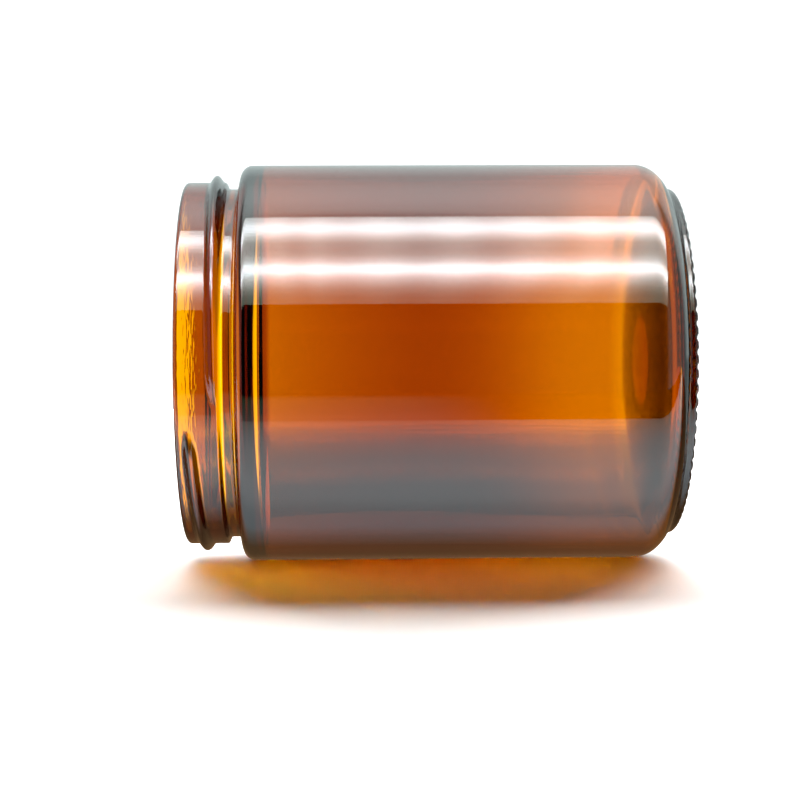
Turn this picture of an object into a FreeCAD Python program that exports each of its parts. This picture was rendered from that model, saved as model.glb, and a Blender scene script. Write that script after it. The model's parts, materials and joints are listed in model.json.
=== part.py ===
import FreeCAD, Part
import math
import os
import re

import Sketcher

# An amber glass jar for a poured candle, with a wide threaded mouth.
#
# The jar is pressed and blown in one piece. Its solids are the zones that the glass
# trade names, and they meet on the mould's parting planes: the sealing lip, the threaded
# finish, the closure thread, the neck undercut, the shoulder, the side wall, the heel,
# the pushed-up floor, the bearing ring and the knurls that the jar stands on.
#
# The frame: +Z is the jar's axis and points out of its mouth. The origin is on the axis,
# in the plane that the jar stands on. Lengths are in millimetres and angles in degrees.

DIMENSIONS = {
    # the whole jar
    "total_height": 89.4,
    "body_diameter": 73.0,
    # the side wall, thickest at half its height, as blown glass is
    "wall_thickness": 2.0,
    "wall_swell": 0.65,
    # the 70-400 finish, the threaded mouth that takes the lid
    "mouth_diameter": 62.3,
    "bore_diameter": 61.1,
    "neck_diameter": 66.8,
    "undercut_diameter": 64.4,
    "flare_depth": 4.4,
    "finish_height": 9.85,
    "lip_height": 1.2,
    "lip_round": 0.75,
    "neck_depth": 7.3,
    "undercut_depth": 8.0,
    # the closure thread, right-handed
    "thread_diameter": 69.4,
    "thread_pitch": 4.233,
    "thread_width": 2.7,
    "thread_root": 0.5,
    "thread_depth": 2.75,
    "thread_turn": 351.0,
    "thread_start": -110.0,
    "thread_runout": 16.0,
    # the shoulder
    "shoulder_fall": 0.4,
    "shoulder_round": 2.1,
    "shoulder_depth": 15.3,
    # the heel and the floor
    "heel_height": 7.1,
    "heel_round": 5.8,
    "floor_height": 3.6,
    "floor_round": 2.4,
    "floor_rise": 3.8,
    "underside_height": 2.2,
    "pushup_rise": 2.6,
    "pushup_diameter": 55.0,
    # the bottom plate's bearing ring and knurls
    "parting_height": 1.6,
    "ring_diameter": 64.2,
    "ring_round": 0.8,
    "ring_width": 1.8,
    "ring_slope": 0.4,
    "knurl_height": 0.3,
    "knurl_width": 1.3,
    "knurl_crest": 0.7,
    "knurl_length": 1.5,
    "knurl_count": 80,
}

# Lengths that several zones share, as formulas over the sheet
BODY = "body_diameter / 2"
INSIDE = "body_diameter / 2 - wall_thickness"
MOUTH = "mouth_diameter / 2"
BORE = "bore_diameter / 2"
NECK = "neck_diameter / 2"
UNDERCUT = "undercut_diameter / 2"
FLOOR_EDGE = "body_diameter / 2 - wall_thickness - floor_round"
LIP_BASE = "total_height - lip_height"
UNDERCUT_TOP = "total_height - undercut_depth"
SHOULDER_TOP = "total_height - finish_height"
SHOULDER_BASE = "total_height - shoulder_depth"
HEEL_TOP = "heel_height"
RING = "ring_diameter / 2"
RING_LAND = "ring_diameter / 2 - ring_round"
RING_INSIDE = "ring_diameter / 2 - ring_round - ring_width"

AXIS = "0"
CCW = 1
CW = -1
THREAD_STEP = 7.0

# Half of the thread bead's section, from its crest down: shares of its half width and height
BEAD_FLANK = [(0.0, 1.0), (0.42, 0.75), (0.74, 0.3), (1.0, 0.0)]
# The share of its root that the bead sinks below the neck's face at its two ends
SUNK_SHARE = 0.8

GLASS_DENSITY = 2.5


def make_sheet(doc):
    """The spreadsheet that holds the driving dimensions."""
    sheet = doc.addObject("Spreadsheet::Sheet", "Dimensions")
    for row, (alias, value) in enumerate(DIMENSIONS.items(), start=1):
        sheet.set(f"A{row}", alias)
        sheet.set(f"B{row}", str(value))
        sheet.setAlias(f"B{row}", alias)
    doc.recompute()
    return sheet


def bound(formula):
    """A formula over the sheet's names, as an expression of another object."""
    return re.sub(r"[a-z]+(?:_[a-z]+)+", r"Dimensions.\g<0>", formula)


def number(sheet, formula):
    """What a formula over the sheet's names comes to."""
    value = sheet.evalExpression(bound(formula))
    return float(getattr(value, "Value", value))


def origin_plane(body, role):
    """One of a body's own origin planes or axes."""
    return next(item for item in body.Origin.OriginFeatures if item.Role == role)


def arc_between(start, end, radius, turn):
    """A short arc from start to end, and which of its ends is the start."""
    middle = (start + end) * 0.5
    chord = end - start
    left = FreeCAD.Vector(-chord.y, chord.x, 0).normalize()
    rise = math.sqrt(max(radius**2 - (chord.Length / 2) ** 2, 0.0))
    centre = middle + left * (rise * turn)
    first, last = (start, end) if turn == CCW else (end, start)
    begins = math.atan2(first.y - centre.y, first.x - centre.x)
    ends = math.atan2(last.y - centre.y, last.x - centre.x)
    circle = Part.Circle(centre, FreeCAD.Vector(0, 0, 1), radius)
    return Part.ArcOfCircle(circle, begins, ends), 1 if turn == CCW else 2


def draw_outline(sheet, sketch, corners):
    """A closed outline. Each corner is its two coordinates as formulas, and an arc to the
    next corner adds the arc's radius and its turn."""
    points = [FreeCAD.Vector(number(sheet, c[0]), number(sheet, c[1]), 0) for c in corners]
    starts = []
    for index, corner in enumerate(corners):
        here = points[index]
        there = points[(index + 1) % len(points)]
        if len(corner) == 2:
            starts.append((sketch.addGeometry(Part.LineSegment(here, there), False), 1))
        else:
            arc, start = arc_between(here, there, number(sheet, corner[2]), corner[3])
            starts.append((sketch.addGeometry(arc, False), start))
    for index, corner in enumerate(corners):
        edge, start = starts[index]
        previous, previous_start = starts[index - 1]
        joint = Sketcher.Constraint("Coincident", previous, 3 - previous_start, edge, start)
        sketch.addConstraint(joint)
        place_corner(sketch, edge, start, corner, points[index])
    for index, corner in enumerate(corners):
        if len(corner) > 2:
            radius = Sketcher.Constraint("Radius", starts[index][0], number(sheet, corner[2]))
            bind(sketch, radius, corner[2])


def place_corner(sketch, edge, start, corner, point):
    """Hold one corner at its two coordinates, or on an axis where one of them is nought."""
    for formula, kind, value, axis in (
        (corner[0], "DistanceX", point.x, -2),
        (corner[1], "DistanceY", point.y, -1),
    ):
        if formula == AXIS:
            sketch.addConstraint(Sketcher.Constraint("PointOnObject", edge, start, axis))
        else:
            bind(sketch, Sketcher.Constraint(kind, edge, start, value), formula)


def bind(sketch, constraint, formula):
    """Add a sized constraint, and tie its size to the sheet."""
    index = sketch.addConstraint(constraint)
    sketch.setExpression(f"Constraints[{index}]", bound(formula))


def turned_zone(doc, sheet, label, corners):
    """A zone of the jar: an outline of radius and height, turned about the jar's axis."""
    body = doc.addObject("PartDesign::Body", label.title().replace("_", ""))
    body.Label = label
    sketch = body.newObject("Sketcher::SketchObject", f"{body.Name}Outline")
    sketch.AttachmentSupport = [(origin_plane(body, "XZ_Plane"), "")]
    sketch.MapMode = "FlatFace"
    draw_outline(sheet, sketch, corners)
    doc.recompute()
    turned = body.newObject("PartDesign::Revolution", f"{body.Name}Turned")
    turned.Profile = sketch
    turned.ReferenceAxis = (sketch, ["V_Axis"])
    turned.Angle = 360.0
    body.Tip = turned
    return body


def sealing_lip(doc, sheet):
    """The flat land that the lid's liner seals on, with both of its edges rounded."""
    return turned_zone(doc, sheet, "sealing_lip", [
        (MOUTH, LIP_BASE),
        (NECK, LIP_BASE),
        (NECK, "total_height - lip_round", "lip_round", CCW),
        ("neck_diameter / 2 - lip_round", "total_height"),
        (f"{MOUTH} + lip_round", "total_height", "lip_round", CCW),
        (MOUTH, "total_height - lip_round"),
    ])


def threaded_finish(doc, sheet):
    """The neck wall that carries the thread. Its bore flares out to the lip."""
    return turned_zone(doc, sheet, "threaded_finish", [
        (BORE, UNDERCUT_TOP),
        (UNDERCUT, UNDERCUT_TOP),
        (NECK, "total_height - neck_depth"),
        (NECK, LIP_BASE),
        (MOUTH, LIP_BASE),
        (BORE, "total_height - flare_depth"),
    ])


def neck_undercut(doc, sheet):
    """The narrow groove between the thread and the shoulder."""
    return turned_zone(doc, sheet, "neck_undercut", [
        (BORE, SHOULDER_TOP),
        (UNDERCUT, SHOULDER_TOP),
        (UNDERCUT, UNDERCUT_TOP),
        (BORE, UNDERCUT_TOP),
    ])


def shoulder(doc, sheet):
    """The near-flat shoulder, its rounded edge, and the curve that the glass takes inside."""
    # Inside, two equal arcs lead from the bore to the side wall, upright at both ends.
    span = "(body_diameter / 2 - wall_thickness - bore_diameter / 2)"
    drop = "(shoulder_depth - finish_height)"
    bend = f"({drop} ^ 2 + {span} ^ 2) / (4 * {span})"
    edge_height = "total_height - finish_height - shoulder_fall"
    return turned_zone(doc, sheet, "shoulder", [
        (UNDERCUT, SHOULDER_TOP),
        (BORE, SHOULDER_TOP, bend, CCW),
        (f"{BORE} + {span} / 2", f"{SHOULDER_TOP} - {drop} / 2", bend, CW),
        (INSIDE, SHOULDER_BASE),
        (BODY, SHOULDER_BASE),
        (BODY, f"{edge_height} - shoulder_round", "shoulder_round", CCW),
        (f"{BODY} - shoulder_round", edge_height),
    ])


def side_wall(doc, sheet):
    """The wall of the body: straight outside, and swelling a little inward inside."""
    height = f"({SHOULDER_BASE} - {HEEL_TOP})"
    bend = f"({height} ^ 2 / 4 + wall_swell ^ 2) / (2 * wall_swell)"
    return turned_zone(doc, sheet, "side_wall", [
        (INSIDE, HEEL_TOP),
        (BODY, HEEL_TOP),
        (BODY, SHOULDER_BASE),
        (INSIDE, SHOULDER_BASE, bend, CCW),
    ])


def heel(doc, sheet):
    """The rounded corner between the side wall and the bottom plate's parting line."""
    reach = "sqrt(heel_round ^ 2 - (heel_height - parting_height) ^ 2)"
    return turned_zone(doc, sheet, "heel", [
        (FLOOR_EDGE, "parting_height"),
        (f"{BODY} - heel_round + {reach}", "parting_height", "heel_round", CCW),
        (BODY, HEEL_TOP),
        (INSIDE, HEEL_TOP),
        (INSIDE, "floor_height + floor_round", "floor_round", CW),
        (FLOOR_EDGE, "floor_height"),
    ])


def pushed_up_floor(doc, sheet):
    """The floor, which is domed inside and pushed up underneath."""
    pushup = "pushup_diameter / 2"
    under = f"(({pushup}) ^ 2 + pushup_rise ^ 2) / (2 * pushup_rise)"
    over = f"(({FLOOR_EDGE}) ^ 2 + floor_rise ^ 2) / (2 * floor_rise)"
    return turned_zone(doc, sheet, "pushed_up_floor", [
        (AXIS, "underside_height + pushup_rise", under, CW),
        (pushup, "underside_height"),
        (f"{RING_INSIDE} - ring_slope", "parting_height"),
        (FLOOR_EDGE, "parting_height"),
        (FLOOR_EDGE, "floor_height", over, CCW),
        (AXIS, "floor_height + floor_rise"),
    ])


def bearing_ring(doc, sheet):
    """The ring under the heel that carries the jar's weight through the knurls."""
    return turned_zone(doc, sheet, "bearing_ring", [
        (RING_INSIDE, "knurl_height"),
        (RING_LAND, "knurl_height", "ring_round", CCW),
        (RING, "knurl_height + ring_round"),
        (RING, "parting_height"),
        (f"{RING_INSIDE} - ring_slope", "parting_height"),
    ])


def base_knurls(doc, sheet):
    """Short radial bars across the bearing ring, whose flat crests the jar stands on."""
    body = doc.addObject("PartDesign::Body", "BaseKnurls")
    body.Label = "base_knurls"
    body.AllowCompound = True
    sketch = body.newObject("Sketcher::SketchObject", "BaseKnurlsOutline")
    sketch.AttachmentSupport = [(origin_plane(body, "YZ_Plane"), "")]
    sketch.MapMode = "FlatFace"
    inner_end = f"{RING_LAND} - (ring_width + knurl_length) / 2"
    sketch.setExpression(".AttachmentOffset.Base.z", bound(inner_end))
    draw_outline(sheet, sketch, [
        ("-knurl_crest / 2", AXIS),
        ("knurl_crest / 2", AXIS),
        ("knurl_width / 2", "knurl_height"),
        ("-knurl_width / 2", "knurl_height"),
    ])
    doc.recompute()
    bar = body.newObject("PartDesign::Pad", "BaseKnurlsBar")
    bar.Profile = sketch
    bar.setExpression("Length", bound("knurl_length"))
    doc.recompute()
    pattern = body.newObject("PartDesign::PolarPattern", "BaseKnurlsPattern")
    pattern.Originals = [bar]
    pattern.Axis = (origin_plane(body, "Z_Axis"), [""])
    pattern.Angle = 360.0
    pattern.setExpression("Occurrences", bound("knurl_count"))
    body.Tip = pattern
    return body


def thread_section(size, turn):
    """The thread bead's section at one angle along the thread, sunk into the neck wall near
    the thread's two ends so that the bead fades out."""
    near_end = min(turn, size["thread_turn"] - turn)
    share = min(near_end / size["thread_runout"], 1.0)
    fade = share * share * (3.0 - 2.0 * share)
    neck_radius = size["neck_diameter"] / 2
    bead_height = size["thread_diameter"] / 2 - neck_radius
    root = size["thread_root"]
    crest = bead_height * fade - root * SUNK_SHARE * (1.0 - fade)
    angle = math.radians(size["thread_start"] - turn)
    outward = FreeCAD.Vector(math.cos(angle), math.sin(angle), 0)
    depth = size["thread_depth"] + size["thread_pitch"] * turn / 360.0
    middle = FreeCAD.Vector(0, 0, size["total_height"] - depth)
    shape = [(-across, rise) for across, rise in reversed(BEAD_FLANK)] + BEAD_FLANK[1:]
    points = []
    for across, rise in shape:
        radius = neck_radius - root + (crest + root) * rise
        along = across * size["thread_width"] / 2
        points.append(middle + outward * radius + FreeCAD.Vector(0, 0, along))
    curve = Part.BSplineCurve()
    curve.interpolate(points)
    return Part.Wire([curve.toShape(), Part.LineSegment(points[-1], points[0]).toShape()])


def closure_thread(doc, sheet):
    """One right-handed turn of rounded bead, lofted through its sections because both of
    its ends fade into the neck wall."""
    size = {alias: number(sheet, alias) for alias in DIMENSIONS}
    count = round(size["thread_turn"] / THREAD_STEP)
    turns = [size["thread_turn"] * step / count for step in range(count + 1)]
    bead = Part.makeLoft([thread_section(size, turn) for turn in turns], True, False)
    core = Part.makeCylinder(size["neck_diameter"] / 2, size["total_height"])
    thread = doc.addObject("Part::Feature", "ClosureThread")
    thread.Label = "closure_thread"
    thread.Shape = bead.cut(core)
    thread.Placement = FreeCAD.Placement()
    return thread


def check(doc, zones):
    """Stop on any object that failed, and on any zone without a valid shape."""
    for item in doc.Objects:
        if {"Invalid", "Error"} & set(item.State):
            raise RuntimeError(f"{item.Name} is {item.State}")
        if item.TypeId == "Sketcher::SketchObject" and not item.FullyConstrained:
            raise RuntimeError(f"{item.Name} is not fully constrained")
    for zone in zones:
        if zone.Shape.isNull() or not zone.Shape.isValid():
            raise RuntimeError(f"{zone.Label} has no valid shape")


def main():
    doc = FreeCAD.newDocument("CandleJar")
    sheet = make_sheet(doc)
    makers = (
        sealing_lip,
        threaded_finish,
        closure_thread,
        neck_undercut,
        shoulder,
        side_wall,
        heel,
        pushed_up_floor,
        bearing_ring,
        base_knurls,
    )
    zones = [make(doc, sheet) for make in makers]
    doc.recompute()
    check(doc, zones)
    os.makedirs("parts", exist_ok=True)
    for zone in zones:
        zone.Shape.exportStep(f"parts/{zone.Label}.step")
        print(f"{zone.Label}: {len(zone.Shape.Solids)} solids, {zone.Shape.Volume:.1f} mm3")
    glass = sum(zone.Shape.Volume for zone in zones)
    print(f"glass in all: {glass / 1000:.2f} cm3, {glass / 1000 * GLASS_DENSITY:.0f} g")


main()
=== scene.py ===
import json
import math

import bpy
import numpy as np
from mathutils import Matrix, Vector


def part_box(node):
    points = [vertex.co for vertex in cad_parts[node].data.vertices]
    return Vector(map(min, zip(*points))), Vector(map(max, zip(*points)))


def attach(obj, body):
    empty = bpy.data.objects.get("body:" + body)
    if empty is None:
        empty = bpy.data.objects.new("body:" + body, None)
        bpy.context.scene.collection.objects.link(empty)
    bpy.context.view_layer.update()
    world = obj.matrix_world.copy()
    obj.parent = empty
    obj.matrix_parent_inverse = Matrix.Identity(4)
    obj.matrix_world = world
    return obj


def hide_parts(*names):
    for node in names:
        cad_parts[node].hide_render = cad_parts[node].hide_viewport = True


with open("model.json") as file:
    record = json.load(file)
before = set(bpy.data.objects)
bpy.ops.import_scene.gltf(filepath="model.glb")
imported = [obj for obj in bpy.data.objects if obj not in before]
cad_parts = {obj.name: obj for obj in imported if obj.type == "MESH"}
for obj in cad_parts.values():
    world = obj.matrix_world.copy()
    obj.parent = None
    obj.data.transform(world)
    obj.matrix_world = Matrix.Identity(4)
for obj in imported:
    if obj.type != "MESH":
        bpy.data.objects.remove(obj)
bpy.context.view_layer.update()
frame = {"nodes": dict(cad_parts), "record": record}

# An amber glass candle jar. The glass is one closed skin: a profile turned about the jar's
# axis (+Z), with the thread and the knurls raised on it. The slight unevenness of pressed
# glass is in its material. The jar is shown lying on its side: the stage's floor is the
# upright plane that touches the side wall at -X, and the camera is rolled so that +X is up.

MM = 0.001
WHITE = (1, 1, 1, 1)


def top(node):
    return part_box(node)[1].z / MM


def bottom(node):
    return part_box(node)[0].z / MM


def radius(node):
    return (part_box(node)[1].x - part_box(node)[0].x) / 2 / MM


def mount(name):
    return next(item for item in frame["record"]["mounts"] if item["name"] == name)


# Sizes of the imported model, in millimetres
LIP_Z = top("sealing_lip")
NECK_R = radius("sealing_lip")
BORE_R = mount("mouth_bore")["dims"]["r_mm"]
THREAD_R = radius("closure_thread")
UNDERCUT_R = radius("neck_undercut")
UNDERCUT_Z = top("neck_undercut")
SHOULDER_Z = top("shoulder")
SHOULDER_FOOT_Z = bottom("shoulder")
BODY_R = radius("side_wall")
HEEL_TOP_Z = top("heel")
PARTING_Z = bottom("heel")
RING_R = radius("bearing_ring")
KNURL_Z = top("base_knurls")

# The side wall: its thickness half-way up and at both ends, and how it thins between them
WALL_MIDDLE = 2.7
WALL_HEEL = 1.8
WALL_SHOULDER = 2.0
WALL_LOW_Z = PARTING_Z + 13.5
WALL_MIDDLE_RISE = 1.4
WALL_UPPER_POWER = 1.2

# The lip and the bore. FLARE_LEFT of the flare is still there at FLARE_Z[0], and the bore is
# straight from FLARE_Z[1] down to BEND_Z[0], where the glass bends out to the side wall
LIP_ROUND = 0.75
NECK_FOOT_Z = LIP_Z - 7.3
BORE_FLARE = 0.6
FLARE_LEFT = 0.54
FLARE_Z = (LIP_Z - 4.5, LIP_Z - 8.5)
BEND_Z = (SHOULDER_Z + 0.9, SHOULDER_FOOT_Z + 0.65)
BEND_LATE = 1.24

# The shoulder. Its rounded edge turns through SHOULDER_TURN degrees, which takes it
# SHOULDER_EDGE of its radius in from the body
UNDERCUT_ROUND = 0.3
UNDERCUT_SINK = 0.02
SHOULDER_FALL = 0.4
SHOULDER_ROUND = 2.1
SHOULDER_TURN = 84
SHOULDER_EDGE = 0.9

# The heel and the bearing ring. HEEL_ROUND is across the axis and along it
HEEL_ROUND = (6.6, 5.9)
HEEL_EDGE = 5.55
HEEL_FOOT = 0.15
RING_TOP = 0.1
RING_ROUND = 0.83
RING_INNER_ROUND = 0.35
RING_WIDTH = 2.6
RING_SLOPE = 1.5
RING_LAND_R = RING_R - RING_ROUND
RING_INNER_R = RING_LAND_R - RING_WIDTH
KNURLS = 80
KNURL_FULLNESS = 1.6

# The floor: pushed up underneath, and domed inside. FLOOR_CORNER is across and along
UNDERSIDE_Z = 2.2
PUSHUP_RISE = 2.6
PUSHUP_POWER = 1.1
FLOOR_EDGE_Z = 3.6
FLOOR_CROWN_Z = 7.45
FLOOR_POWER = 2.0
FLOOR_CORNER = (1.9, 2.7)

# The closure thread: one right-handed turn, in degrees about the axis and millimetres. It
# starts THREAD_LEAD above its helix and sinks to it, and it is narrower where it fades out
THREAD_START = -110.0
THREAD_TURN = 353.0
THREAD_PITCH = 4.233
THREAD_DEPTH = 2.75
THREAD_HALF_WIDTH = 1.32
THREAD_END_WIDTH = 0.55
THREAD_ROUNDNESS = 1.5
THREAD_FADE = 9.0
THREAD_LEAD = 0.5
THREAD_LEAD_TURN = 20.0
THREAD_ZONE_Z = (NECK_FOOT_Z - 0.2, LIP_Z - 0.3)

# How many points each ring of the skin has, and how near counts as on an edge
AROUND = 400
SLACK = 0.01


def line(start, end, count):
    """Points from start up to, and not including, end."""
    share = np.arange(count) / count
    start, end = np.array(start, float), np.array(end, float)
    return start + (end - start) * share[:, None]


def arc(centre, radii, start, end, count):
    """Points round an arc of a circle or ellipse, in degrees, without its last one."""
    angle = np.radians(start + (end - start) * np.arange(count) / count)
    across, along = radii if isinstance(radii, tuple) else (radii, radii)
    return np.stack([centre[0] + across * np.cos(angle), centre[1] + along * np.sin(angle)], 1)


def soften(share):
    """A share from 0 to 1, eased at both ends."""
    return share * share * (3 - 2 * share)


def smooth_step(start, end, count, late=1.0):
    """An S-bend, upright at both ends. It comes later as late goes above 1."""
    share = np.arange(count) / count
    ease = soften(share**late)
    r = start[0] + (end[0] - start[0]) * ease
    return np.stack([r, start[1] + (end[1] - start[1]) * share], 1)


def dome(start_r, start_z, end_r, end_z, power, count):
    """Part of a dome about the axis. A power of 1 makes it a cone, and 2 a shallow bowl."""
    share = np.arange(count) / count
    r = start_r + (end_r - start_r) * share
    wide = max(start_r, end_r)
    crown, rim = (start_z, end_z) if start_r < end_r else (end_z, start_z)
    return np.stack([r, rim + (crown - rim) * (1 - (r / wide) ** power)], 1)


def outer_profile():
    """From the middle of the underside, round the heel and up to the lip."""
    slope_r = RING_INNER_R - RING_SLOPE
    inner_round_r = RING_INNER_R + RING_INNER_ROUND
    across, along = HEEL_ROUND
    heel_z = PARTING_Z + HEEL_EDGE
    heel_foot_z = PARTING_Z + HEEL_FOOT
    heel_end = math.asin((heel_z - heel_foot_z) / along)
    heel_r = BODY_R - across
    heel_foot_r = heel_r + across * math.cos(heel_end)
    edge_z = SHOULDER_Z - SHOULDER_FALL
    round_r, round_z = BODY_R - SHOULDER_ROUND, edge_z - SHOULDER_ROUND
    step_r = UNDERCUT_R + UNDERCUT_ROUND
    step_z = SHOULDER_Z - UNDERCUT_SINK
    return np.concatenate([
        dome(0.0, UNDERSIDE_Z + PUSHUP_RISE, slope_r, UNDERSIDE_Z, PUSHUP_POWER, 12),
        line((slope_r, UNDERSIDE_Z), (RING_INNER_R, RING_INNER_ROUND), 3),
        arc((inner_round_r, RING_INNER_ROUND), RING_INNER_ROUND, 180, 270, 4),
        line((inner_round_r, 0.0), (RING_LAND_R, 0.0), 6),
        arc((RING_LAND_R, RING_ROUND), RING_ROUND, -90, 0, 9),
        line((RING_R, RING_ROUND), (RING_R, PARTING_Z - RING_TOP), 2),
        line((RING_R, PARTING_Z - RING_TOP), (heel_foot_r, heel_foot_z), 3),
        arc((heel_r, heel_z), HEEL_ROUND, -math.degrees(heel_end), 0, 20),
        line((BODY_R, heel_z), (BODY_R, round_z), 5),
        arc((round_r, round_z), SHOULDER_ROUND, 0, SHOULDER_TURN, 12),
        line((BODY_R - SHOULDER_ROUND * SHOULDER_EDGE, edge_z), (step_r, step_z), 3),
        arc((step_r, step_z + UNDERCUT_ROUND), UNDERCUT_ROUND, 270, 180, 4),
        line((UNDERCUT_R, step_z + UNDERCUT_ROUND), (UNDERCUT_R, UNDERCUT_Z), 3),
        smooth_step((UNDERCUT_R, UNDERCUT_Z), (NECK_R, NECK_FOOT_Z), 5),
        line((NECK_R, NECK_FOOT_Z), (NECK_R, LIP_Z - LIP_ROUND), 38),
        arc((NECK_R - LIP_ROUND, LIP_Z - LIP_ROUND), LIP_ROUND, 0, 90, 8),
    ])


def wall(z):
    """How thick the side wall is at a height. It is thickest about half-way up."""
    middle = 0.5 * (WALL_LOW_Z + SHOULDER_FOOT_Z) + WALL_MIDDLE_RISE
    down = np.clip((middle - z) / (middle - WALL_LOW_Z), 0, 1)
    up = np.clip((z - middle) / (SHOULDER_FOOT_Z - middle), 0, 1)
    below = WALL_MIDDLE - (WALL_MIDDLE - WALL_HEEL) * np.sin(down * math.pi / 2) ** 2
    above = WALL_MIDDLE - (WALL_MIDDLE - WALL_SHOULDER) * up**WALL_UPPER_POWER
    return np.where(z < middle, below, above)


def inner_profile():
    """From the lip down the bore, round the shoulder and to the middle of the floor."""
    mouth_r = BORE_R + BORE_FLARE
    middle_r = BORE_R + FLARE_LEFT * BORE_FLARE
    lip_foot_z = LIP_Z - LIP_ROUND
    inside_top = BODY_R - WALL_SHOULDER
    inside_foot = BODY_R - WALL_HEEL
    across, along = FLOOR_CORNER
    flat_r = inside_foot - across
    corner_z = FLOOR_EDGE_Z + along
    side = line((inside_top, BEND_Z[1]), (inside_foot, corner_z), 26)
    side[:, 0] = BODY_R - wall(side[:, 1])
    return np.concatenate([
        line((NECK_R - LIP_ROUND, LIP_Z), (mouth_r + LIP_ROUND, LIP_Z), 3),
        arc((mouth_r + LIP_ROUND, lip_foot_z), LIP_ROUND, 90, 180, 8),
        line((mouth_r, lip_foot_z), (middle_r, FLARE_Z[0]), 8),
        smooth_step((middle_r, FLARE_Z[0]), (BORE_R, FLARE_Z[1]), 10),
        line((BORE_R, FLARE_Z[1]), (BORE_R, BEND_Z[0]), 2),
        smooth_step((BORE_R, BEND_Z[0]), (inside_top, BEND_Z[1]), 22, BEND_LATE),
        side,
        arc((flat_r, corner_z), FLOOR_CORNER, 0, -90, 16),
        dome(flat_r, FLOOR_EDGE_Z, 0.0, FLOOR_CROWN_Z, FLOOR_POWER, 14),
    ])


def thread_bead(z, angle):
    """How far the thread stands out of the neck wall at a height and an angle."""
    turn = np.mod(THREAD_START - angle, 360.0)
    fade = np.minimum(turn / THREAD_FADE, (THREAD_TURN - turn) / THREAD_FADE)
    fade = soften(np.clip(fade, 0, 1))
    helix = LIP_Z - THREAD_DEPTH - THREAD_PITCH * turn / 360.0
    middle = helix + THREAD_LEAD * np.exp(-turn / THREAD_LEAD_TURN)
    half_width = THREAD_HALF_WIDTH * (THREAD_END_WIDTH + (1 - THREAD_END_WIDTH) * fade)
    across = np.abs(z - middle) / half_width
    bell = np.clip(1 - across**2, 0, 1) ** THREAD_ROUNDNESS
    return (THREAD_R - NECK_R) * fade * bell


def knurl_lift(angle):
    """How far the ring's underside is above the knurls' crests at an angle."""
    wave = 0.5 + 0.5 * np.cos(np.radians(angle) * KNURLS)
    return KNURL_Z * (1 - np.clip(wave * KNURL_FULLNESS, 0, 1))


def build_skin():
    """The closed glass skin, as rings of points about the axis."""
    outer, inner = outer_profile(), inner_profile()
    profile = np.concatenate([outer, inner])
    rings = len(profile)
    r = np.repeat(profile[:, 0:1], AROUND, 1)
    z = np.repeat(profile[:, 1:2], AROUND, 1)
    a = np.repeat((np.arange(AROUND) * 360.0 / AROUND)[None, :], rings, 0)
    is_outer = (np.arange(rings) < len(outer))[:, None]
    on_neck = is_outer & (z > THREAD_ZONE_Z[0]) & (z < THREAD_ZONE_Z[1])
    r = r + np.where(on_neck, thread_bead(z, a), 0.0)
    on_ring = is_outer & (r > RING_INNER_R - SLACK) & (z < RING_ROUND + SLACK)
    low = np.clip(1 - z / RING_ROUND, 0, 1)
    z = z + np.where(on_ring, knurl_lift(a) * low, 0.0)
    angle = np.radians(a)
    points = np.stack([r * np.cos(angle), r * np.sin(angle), z], 2) * MM
    # the first ring is the middle of the underside, and one point closes the floor's dome
    verts = [(0, 0, profile[0, 1] * MM)]
    verts += [tuple(p) for p in points[1:].reshape(-1, 3)]
    last = len(verts)
    verts.append((0, 0, FLOOR_CROWN_Z * MM))
    faces = []

    def vid(ring, k):
        return 1 + (ring - 1) * AROUND + k % AROUND

    for k in range(AROUND):
        faces.append((0, vid(1, k + 1), vid(1, k)))
        faces.append((last, vid(rings - 1, k), vid(rings - 1, k + 1)))
    for ring in range(1, rings - 1):
        for k in range(AROUND):
            faces.append((vid(ring, k), vid(ring, k + 1), vid(ring + 1, k + 1), vid(ring + 1, k)))
    mesh = bpy.data.meshes.new("amber_jar")
    mesh.from_pydata(verts, [], faces)
    mesh.validate()
    mesh.update()
    for polygon in mesh.polygons:
        polygon.use_smooth = True
    piece = bpy.data.objects.new("amber_jar", mesh)
    bpy.context.scene.collection.objects.link(piece)
    return piece


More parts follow.
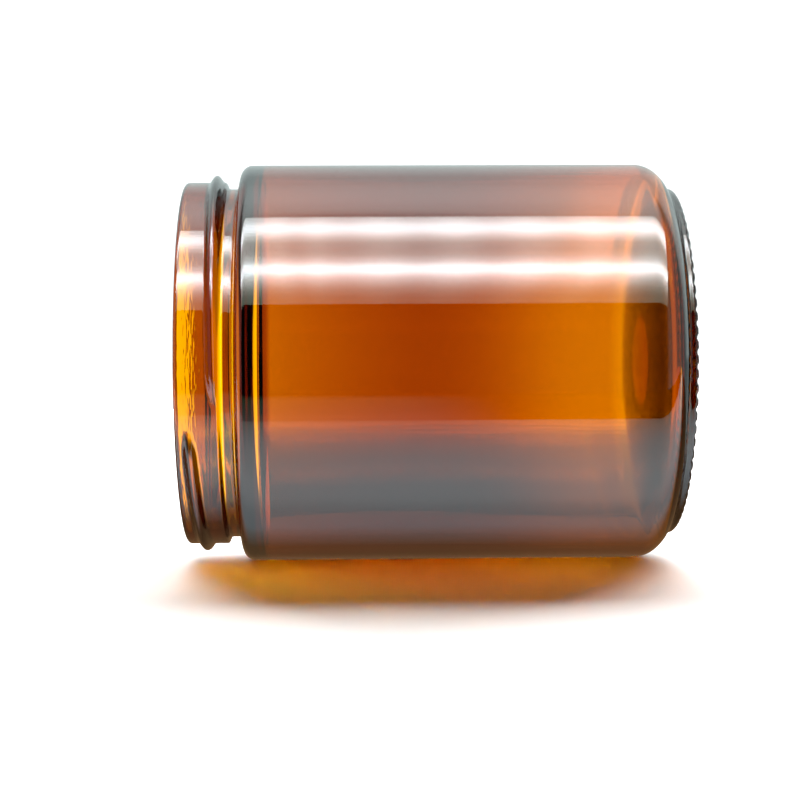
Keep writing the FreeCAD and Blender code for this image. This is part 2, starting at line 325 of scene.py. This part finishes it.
class Graph:
    """A short way to write node networks."""

    def __init__(self, tree):
        self.nodes, self.links = tree.nodes, tree.links

    def node(self, kind, **settings):
        made = self.nodes.new(kind)
        for name, value in settings.items():
            setattr(made, name, value)
        return made

    def feed(self, socket, value):
        if isinstance(value, bpy.types.NodeSocket):
            self.links.new(value, socket)
        else:
            socket.default_value = value

    def place(self, space):
        """The X, Y and Z of a point in one of the texture coordinate's spaces."""
        split = self.node("ShaderNodeSeparateXYZ")
        self.feed(split.inputs[0], self.node("ShaderNodeTexCoord").outputs[space])
        return split.outputs

    def math(self, operation, *values):
        made = self.node("ShaderNodeMath", operation=operation)
        for socket, value in zip(made.inputs, values):
            self.feed(socket, value)
        return made.outputs[0]

    def times(self, first, *others):
        """A product of two or more values."""
        for other in others:
            first = self.math("MULTIPLY", first, other)
        return first

    def slide(self, value, low, high, start=0.0, end=1.0):
        """A smooth change from start to end as value goes from low to high."""
        made = self.node("ShaderNodeMapRange", interpolation_type="SMOOTHSTEP")
        names = ("Value", "From Min", "From Max", "To Min", "To Max")
        for name, number in zip(names, (value, low, high, start, end)):
            self.feed(made.inputs[name], number)
        return made.outputs[0]

    def ramp(self, value, stops):
        """A level or colour that changes evenly between stops, each a place and what is there."""
        made = self.node("ShaderNodeValToRGB")
        self.feed(made.inputs["Fac"], value)
        elements = made.color_ramp.elements
        while len(elements) < len(stops):
            elements.new(0.5)
        for element, (place, level) in zip(elements, stops):
            element.position = place
            element.color = (*level, 1) if isinstance(level, tuple) else (level, level, level, 1)
        return made.outputs["Color"]

    def mix(self, share, first, second):
        """A blend of two colours."""
        made = self.node("ShaderNodeMix", data_type="RGBA")
        made.clamp_result = False
        sockets = [socket for socket in made.inputs if socket.type == "RGBA"]
        for socket, value in zip([made.inputs[0]] + sockets, (share, first, second)):
            self.feed(socket, value)
        return next(socket for socket in made.outputs if socket.type == "RGBA")

    def between(self, share, first, second):
        """A blend of two numbers."""
        made = self.node("ShaderNodeMix", data_type="FLOAT")
        sockets = (made.inputs[0], made.inputs[2], made.inputs[3])
        for socket, value in zip(sockets, (share, first, second)):
            self.feed(socket, value)
        return made.outputs[0]


# What a metre of the glass takes out of red, green and blue light
ABSORBED = (360.0, 750.0, 5000.0)
GLASS_IOR = 1.52
# Unevenness of the pressed glass, in millimetres: the chill ripples in the bore, and the
# faint lines that run up the inside of the side wall. Sizes are round the jar and along it
RIPPLE_HEIGHT = 0.034
RIPPLE_SIZE = (3.2, 0.42)
RIPPLE_Z = (LIP_Z - 5.5, LIP_Z - 3.5)
LINE_HEIGHT = 0.022
LINE_SIZE = (1.1, 26.0)
LINE_FADE = 6.0
# A point counts as on the inner side up to this far out from the bore's surface, and from
# this far in from the body's outer surface
INNER_SIDE = 1.0


def uneven_glass(g):
    """The surface normal of glass that isn't perfectly smooth on its inner side."""
    x, y, z = g.place("Object")
    angle = g.math("ARCTAN2", y, x)
    r = g.math("SQRT", g.math("ADD", g.times(x, x), g.times(y, y)))

    def noise(size, detail):
        """Noise stretched over the jar, with cells of a size round it and along it."""
        around, along = size
        where = g.node("ShaderNodeCombineXYZ")
        g.feed(where.inputs[0], g.times(angle, BORE_R / around))
        g.feed(where.inputs[1], g.times(z, 1 / (along * MM)))
        made = g.node("ShaderNodeTexNoise")
        g.feed(made.inputs["Vector"], where.outputs[0])
        made.inputs["Scale"].default_value = 1.0
        made.inputs["Detail"].default_value = detail
        return made.outputs["Fac"]

    def within(limit_r):
        return g.math("LESS_THAN", r, limit_r * MM)

    in_bore = g.times(g.slide(z, RIPPLE_Z[0] * MM, RIPPLE_Z[1] * MM), within(BORE_R + INNER_SIDE))
    above_heel = g.slide(z, HEEL_TOP_Z * MM, (HEEL_TOP_Z + LINE_FADE) * MM)
    shoulder_fade_z = SHOULDER_FOOT_Z - LINE_FADE
    below_shoulder = g.slide(z, shoulder_fade_z * MM, SHOULDER_FOOT_Z * MM, 1.0, 0.0)
    in_body = g.times(above_heel, below_shoulder, within(BODY_R - INNER_SIDE))
    ripples = g.times(noise(RIPPLE_SIZE, 1.0), in_bore, RIPPLE_HEIGHT * MM)
    lines = g.times(noise(LINE_SIZE, 2.0), in_body, LINE_HEIGHT * MM)
    bump = g.node("ShaderNodeBump")
    bump.inputs["Distance"].default_value = 1.0
    g.feed(bump.inputs["Height"], g.math("ADD", ripples, lines))
    return bump.outputs["Normal"]


def amber_glass():
    """Clear, polished glass whose body absorbs blue light most and red light least."""
    material = bpy.data.materials.new("amber_glass")
    material.use_nodes = True
    g = Graph(material.node_tree)
    shader = g.nodes["Principled BSDF"]
    shader.inputs["Base Color"].default_value = WHITE
    shader.inputs["Transmission Weight"].default_value = 1.0
    shader.inputs["IOR"].default_value = GLASS_IOR
    shader.inputs["Roughness"].default_value = 0.0
    g.feed(shader.inputs["Normal"], uneven_glass(g))
    volume = g.node("ShaderNodeVolumeAbsorption")
    density = max(ABSORBED)
    kept = [1 - share / density for share in ABSORBED]
    volume.inputs["Color"].default_value = (*kept, 1)
    volume.inputs["Density"].default_value = density
    g.feed(g.nodes["Material Output"].inputs["Volume"], volume.outputs["Volume"])
    return material


# The room's light: what the camera sees, what shows through the glass, what comes from the
# dark part of the room, and what falls on the sheet from the window and from elsewhere
CAMERA_LEVEL = 1.3
BACKDROP_LEVEL = 2.8
DARK_LEVEL = 0.02
GLOW_LEVEL = 152.0
AMBIENT_LEVEL = 0.035
MIRRORED_TINT = (0.76, 0.89, 0.88, 1)
GLOW_TINT = (1.0, 1.35, 1, 1)
# What the jar mirrors of the backdrop, from level with the jar (0) to straight above it (1)
MIRRORED_LEVELS = [
    (0.0, 0.0), (0.02, 0.9), (0.26, 1.0), (0.59, 1.4), (0.73, 1.5), (0.83, 2.1), (0.90, 3.0),
    (0.97, 4.0), (0.995, 4.0), (0.9985, 2.6), (1.0, 2.6),
]


def make_world():
    """A white backdrop on the +Y side of a dark room, by the direction that light comes from."""
    world = bpy.data.worlds.new("studio")
    bpy.context.scene.world = world
    world.use_nodes = True
    world.cycles.sampling_method = "NONE"
    world.node_tree.nodes.clear()
    g = Graph(world.node_tree)
    x, y, z = g.place("Generated")
    path = g.node("ShaderNodeLightPath")
    through = path.outputs["Is Transmission Ray"]
    to_camera = path.outputs["Is Camera Ray"]
    # the backdrop stands behind the jar and goes on overhead
    behind = g.slide(y, 0.25, 0.45)
    above = g.times(g.slide(x, 0.78, 0.90), g.slide(y, -0.08, -0.03))
    room = g.math("MAXIMUM", behind, above)
    mirrored = g.ramp(x, MIRRORED_LEVELS)
    # through the glass, the backdrop's upper part is dimmer towards the jar's mouth and
    # brighter towards its base, and its lowest part is dimmer towards the mouth
    high = g.slide(x, 0.05, 0.13)
    lean = g.slide(z, -0.15, -0.06, 0.15, -0.42)
    low = g.times(g.slide(x, -0.06, -0.025, -0.25, 0.0), g.slide(z, -0.15, -0.08))
    seen = g.math("ADD", g.math("MULTIPLY_ADD", high, lean, 1.0), low)
    # it ends beyond the jar's base, and is a little darker towards that end
    base_end = g.slide(z, -0.70, -0.58)
    base_part = g.slide(z, -0.20, -0.165, 0.78, 1.0)
    seen = g.times(seen, BACKDROP_LEVEL, base_end, base_part)
    view = g.math("MULTIPLY_ADD", room, g.between(through, mirrored, seen), DARK_LEVEL)
    # the room's two side walls, which the jar's ends mirror
    base_side = g.slide(z, -0.62, -0.45, 0.7, 0.0)
    mouth_side = g.slide(z, 0.45, 0.62, 0.0, 0.35)
    sides = g.math("ADD", base_side, mouth_side)
    view = g.math("ADD", view, g.between(through, sides, 0.0))
    # light that reaches the floor through the glass comes from a window in the backdrop,
    # which is 60 degrees wide and about 60 degrees high
    slant = g.math("DIVIDE", g.math("ABSOLUTE", z), g.math("MAXIMUM", y, 0.001))
    width = g.slide(slant, 0.48, 0.58, 1.0, 0.0)
    height = g.slide(x, 0.80, 0.90, 1.0, 0.0)
    window = g.times(width, height, g.slide(y, 0.0, 0.02), through)
    on_floor = g.math("MULTIPLY_ADD", window, GLOW_LEVEL, AMBIENT_LEVEL)
    from_floor = g.math("GREATER_THAN", path.outputs["Diffuse Depth"], 0.5)
    level = g.between(from_floor, view, on_floor)
    level = g.between(to_camera, level, CAMERA_LEVEL)
    tint = g.mix(through, MIRRORED_TINT, WHITE)
    tint = g.mix(from_floor, tint, GLOW_TINT)
    tint = g.mix(to_camera, tint, WHITE)
    back = g.node("ShaderNodeBackground")
    g.feed(back.inputs["Color"], tint)
    g.feed(back.inputs["Strength"], level)
    out = g.node("ShaderNodeOutputWorld")
    g.feed(out.inputs["Surface"], back.outputs[0])


# The back lamp: degrees above the sheet, metres and watts
LAMP_HEIGHT = 25.0
LAMP_DISTANCE = 6.0
LAMP_SIZE = (7.0, 8.1)
LAMP_Z = -0.6
LAMP_POWER = 2800.0


def make_lamp():
    """The lamp behind the jar that lights the sheet: the jar's shadow falls to the front."""
    data = bpy.data.lights.new("back_lamp", "AREA")
    data.shape = "ELLIPSE"
    data.size, data.size_y = LAMP_SIZE
    data.energy = LAMP_POWER
    lamp = bpy.data.objects.new("back_lamp", data)
    bpy.context.scene.collection.objects.link(lamp)
    height = math.radians(LAMP_HEIGHT)
    towards = Vector((math.sin(height), math.cos(height), 0))
    along = Vector((0, 0, 1))
    axes = Matrix((along, towards.cross(along), towards)).transposed().to_4x4()
    axes.translation = Vector((0, 0, LAMP_Z)) + towards * LAMP_DISTANCE
    lamp.matrix_world = axes
    lamp.visible_glossy = False
    lamp.visible_transmission = False
    lamp.visible_camera = False


def staged(name, corners, material, seen_by):
    """A flat piece of the stage, seen only by the kinds of ray that are named."""
    mesh = bpy.data.meshes.new(name)
    mesh.from_pydata(corners, [], [(0, 1, 2, 3)])
    mesh.materials.append(material)
    thing = bpy.data.objects.new(name, mesh)
    bpy.context.scene.collection.objects.link(thing)
    for ray in ("camera", "diffuse", "glossy", "transmission", "shadow"):
        setattr(thing, "visible_" + ray, ray in seen_by)


def stage_material(name):
    material = bpy.data.materials.new(name)
    material.use_nodes = True
    material.node_tree.nodes.clear()
    return material, Graph(material.node_tree)


def show(g, shader, cover=1.0):
    """Put a shader on a piece's front. Its back, and what cover leaves out, is clear."""
    clear = g.node("ShaderNodeBsdfTransparent").outputs[0]
    face = g.node("ShaderNodeNewGeometry").outputs["Backfacing"]
    front = g.times(g.math("SUBTRACT", 1.0, face), cover)
    mix = g.node("ShaderNodeMixShader")
    g.feed(mix.inputs["Fac"], front)
    g.feed(mix.inputs[1], clear)
    g.feed(mix.inputs[2], shader)
    out = g.node("ShaderNodeOutputMaterial")
    g.feed(out.inputs["Surface"], mix.outputs[0])


def glow(g, level, color=WHITE, through=1.0):
    """Light for the jar alone: a path that has come off the floor doesn't meet it. A path
    that has been through the glass sees the share of it called through."""
    path = g.node("ShaderNodeLightPath")
    straight = g.math("LESS_THAN", path.outputs["Diffuse Depth"], 0.5)
    inside = g.math("GREATER_THAN", path.outputs["Transmission Depth"], 0.5)
    made = g.node("ShaderNodeEmission")
    g.feed(made.inputs["Color"], color)
    g.feed(made.inputs["Strength"], g.times(level, straight, g.between(inside, 1.0, through)))
    return made.outputs[0]


def upright_rectangle(x, y_range, z_range):
    """Corners of a rectangle square to X, facing +X, in millimetres."""
    (y0, y1), (z0, z1) = y_range, z_range
    return [(x * MM, y * MM, z * MM) for y, z in ((y0, z0), (y1, z0), (y1, z1), (y0, z1))]


def stops_across(front, back, points):
    """Ramp stops for points given by Y, in millimetres, on a piece from front to back."""
    return [((y - front) / (back - front), level) for y, level in points]


FLOOR_X = -BODY_R - 0.05
FLOOR_COLOR = (0.92, 0.92, 0.92, 1)
FLOOR_FRONT = -600
FLOOR_REACH = 1600
MIDDLE_Z = LIP_Z / 2


def make_floor():
    """The white sheet that the jar lies on, as the camera sees it."""
    material, g = stage_material("white_sheet")
    sheet = g.node("ShaderNodeBsdfDiffuse")
    sheet.inputs["Color"].default_value = FLOOR_COLOR
    show(g, sheet.outputs[0])
    corners = upright_rectangle(FLOOR_X, (FLOOR_FRONT, FLOOR_REACH), (-FLOOR_REACH, FLOOR_REACH))
    staged("white_floor", corners, material, ("camera", "diffuse"))


# The sheet as it shows through the glass, by Y in millimetres: painted light, with a painted shadow
# under the jar
THROUGH_FRONT = -80.0
THROUGH_LEVELS = [(-80, 3.0), (-50, 1.5), (-36, 0.5), (48, 0.5), (60, 1.5), (90, 3.0)]


def make_floor_through_glass():
    """The sheet as it looks through the glass, as painted light: bright, with a painted shadow
    under the jar.
    """
    material, g = stage_material("sheet_through_glass")
    across = g.place("Generated")[1]
    levels = stops_across(THROUGH_FRONT, FLOOR_REACH, THROUGH_LEVELS)
    show(g, glow(g, g.ramp(across, levels)))
    corners = upright_rectangle(FLOOR_X, (THROUGH_FRONT, FLOOR_REACH), (-FLOOR_REACH, FLOOR_REACH))
    staged("floor_through_glass", corners, material, ("transmission",))


# The sheet as the jar mirrors it, as a painted reflection on a glowing card, by Y in millimetres.
# Next to the jar it is a painted shadow with a painted amber glow. Further forward it is dimmer,
# and only beside the jar's mouth half
STRIP_FRONT, STRIP_BACK = -130.0, 60.0
STRIP_HALF_LENGTH = 500
STRIP_LEVELS = [
    (-76.5, 0.0), (-75, 1.4), (-64, 2.0), (-52, 2.6), (-43, 2.95), (-36, 3.0), (-30, 2.7),
    (-25, 1.8), (-19.4, 1.2), (-16.5, 0.75), (-13.0, 0.4), (-9.0, 0.25), (60.0, 0.25),
]
STRIP_MOUTH_LEVELS = [(-130, 0.0), (-114, 0.5), (-86, 0.6), (-77, 0.75), (-75, 0.0)]
# the amber next to the jar is a painted glow of light that has come through the glass
STRIP_TINTS = [
    (-114, (0.5, 1.0, 0.6)), (-76, (0.88, 1.0, 0.9)), (-60, (0.88, 1.0, 1.02)),
    (-20, (0.88, 1.0, 1.05)), (-12.5, (1.0, 0.55, 0.25)), (60, (1.0, 0.55, 0.25)),
]
STRIP_THROUGH = 0.5


def make_painted_reflection_card():
    """The strip of sheet in front of the jar that its lower half mirrors, as a painted reflection
    on a glowing card, with a painted shadow and amber glow next to the jar.
    """
    material, g = stage_material("sheet_in_reflection")
    _, across, along = g.place("Generated")

    def ramp(points):
        return g.ramp(across, stops_across(STRIP_FRONT, STRIP_BACK, points))

    mouth_half = g.slide(along, 0.48, 0.505)
    level = g.math("MULTIPLY_ADD", ramp(STRIP_MOUTH_LEVELS), mouth_half, ramp(STRIP_LEVELS))
    show(g, glow(g, level, ramp(STRIP_TINTS), STRIP_THROUGH))
    ends = (MIDDLE_Z - STRIP_HALF_LENGTH, MIDDLE_Z + STRIP_HALF_LENGTH)
    corners = upright_rectangle(FLOOR_X, (STRIP_FRONT, STRIP_BACK), ends)
    staged("floor_in_reflection", corners, material, ("glossy",))


# The black card, a painted shade behind the jar's foot as seen through the glass, in millimetres,
# and how much of it covers what is behind it, upwards
CARD_Y = 45.0
CARD_TOP_X = -13.5
CARD_Z = (-60, 84)
CARD_COVER = [
    (0.0, 1.0), (0.35, 0.98), (0.5, 0.96), (0.6, 0.9), (0.72, 0.8), (0.84, 0.7), (0.92, 0.42),
    (1.0, 0.0),
]


def make_painted_shade_card():
    """Painted shade: a black card with a feathered top behind the jar's foot, seen only through the
    glass, in place of the jar's shadow there.
    """
    material, g = stage_material("black_card")
    up, _, along = g.place("Generated")
    cover = g.times(g.ramp(up, CARD_COVER), g.slide(along, 0.45, 0.66, 0.8, 1.0))
    show(g, glow(g, 0.0), cover)
    (z0, z1), x0, x1 = CARD_Z, FLOOR_X, CARD_TOP_X
    corners = [(x * MM, CARD_Y * MM, z * MM) for x, z in ((x0, z0), (x1, z0), (x1, z1), (x0, z1))]
    staged("black_card", corners, material, ("transmission",))


def elevation_point(degrees, distance):
    """A direction in the plane square to the jar's axis: 0 points at the camera (-Y), and
    90 points up in the picture (+X)."""
    e = math.radians(degrees)
    return Vector((math.sin(e), -math.cos(e), 0)) * distance


# The softbox: two rows of lamps behind a white cloth. Its edges are given by elevation and
# distance in metres, and its levels and tints by the elevation that their light comes from
SOFTBOX_LOW, SOFTBOX_HIGH = (32.0, 1.15), (89.0, 1.0)
SOFTBOX_HALF_LENGTH = 0.75
SOFTBOX_LEVELS = [
    (33, 2.0), (36, 2.2), (38.5, 2.9), (41.5, 4.4), (45.3, 8.0), (49, 14.0), (52.3, 24.0),
    (55.3, 23.0), (58.3, 13.0), (62.3, 7.6), (66.3, 6.2), (71, 6.8), (75, 11.5), (78, 16.5),
    (81, 21.0), (84, 18.0), (87, 12.5), (90.5, 9.0),
]
SOFTBOX_TINTS = [
    (33, (0.75, 1.0, 0.75)), (46, (0.92, 1.0, 0.95)), (53, (0.92, 1.0, 1.04)),
    (64, (0.95, 1.0, 0.93)), (72, (0.95, 1.0, 0.93)), (81, (0.92, 1.0, 1.04)),
    (90, (0.92, 1.0, 0.98)),
]
SOFTBOX_THROUGH = 0.45
# The lamps of a row make it a little brighter and dimmer by turns along it
LAMPS_IN_ROW = 30.6
LAMPS_OFFSET = 0.6
LAMPS_UNEVENNESS = 0.08


def make_softbox():
    """The softbox overhead, which the upper half of the jar mirrors as two bright bands."""
    low, high = elevation_point(*SOFTBOX_LOW), elevation_point(*SOFTBOX_HIGH)
    material, g = stage_material("softbox")
    _, up, along = g.place("Generated")

    def share(degrees):
        """How far across the softbox the side wall mirrors it, at an elevation."""
        start = low - elevation_point(degrees / 2, BODY_R * MM)
        towards = elevation_point(degrees, 1.0)
        across = high - low
        spread = across.x * towards.y - across.y * towards.x
        return (start.y * towards.x - start.x * towards.y) / spread

    def ramp(points):
        return g.ramp(up, [(share(degrees), level) for degrees, level in points])

    phase = g.math("MULTIPLY_ADD", along, 2 * math.pi * LAMPS_IN_ROW, LAMPS_OFFSET)
    lamps = g.math("MULTIPLY_ADD", g.math("SINE", phase), LAMPS_UNEVENNESS, 1.0)
    level = g.times(ramp(SOFTBOX_LEVELS), lamps)
    show(g, glow(g, level, ramp(SOFTBOX_TINTS), SOFTBOX_THROUGH))
    half = Vector((0, 0, SOFTBOX_HALF_LENGTH))
    middle = Vector((0, 0, MIDDLE_Z * MM))
    corners = [middle + low - half, middle + low + half, middle + high + half, middle + high - half]
    staged("softbox", corners, material, ("glossy", "transmission"))


# The camera's place is in millimetres, and its small turns are in radians
FOCAL_LENGTH = 83.6
SENSOR_WIDTH = 36.0
CAMERA_PLACE = (-2.32, -346.5, 59.5)
CAMERA_PITCH, CAMERA_YAW, CAMERA_ROLL = 0.0136, 0.0268, 0.0061


def make_camera():
    data = bpy.data.cameras.new("camera")
    data.lens = FOCAL_LENGTH
    data.sensor_width = SENSOR_WIDTH
    camera = bpy.data.objects.new("camera", data)
    bpy.context.scene.collection.objects.link(camera)
    # rolled by a quarter turn: the picture's right is -Z and its top is +X
    straight = Matrix(((0, 1, 0), (0, 0, -1), (-1, 0, 0)))
    turn = Matrix.Rotation(CAMERA_ROLL, 3, "Z") @ Matrix.Rotation(CAMERA_YAW, 3, "Y")
    turn = turn @ Matrix.Rotation(CAMERA_PITCH, 3, "X")
    rows = turn @ straight.transposed()
    world = rows.transposed().to_4x4()
    world.translation = Vector(CAMERA_PLACE) * MM
    camera.matrix_world = world
    bpy.context.scene.camera = camera


make_camera()
make_world()
make_lamp()
make_floor()
make_floor_through_glass()
make_painted_reflection_card()
make_painted_shade_card()
make_softbox()

jar = build_skin()
jar.data.materials.append(amber_glass())
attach(jar, "root")
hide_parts(*[name for name in frame["nodes"]])

scene = bpy.context.scene
scene.view_settings.view_transform = "Standard"
scene.view_settings.look = "None"
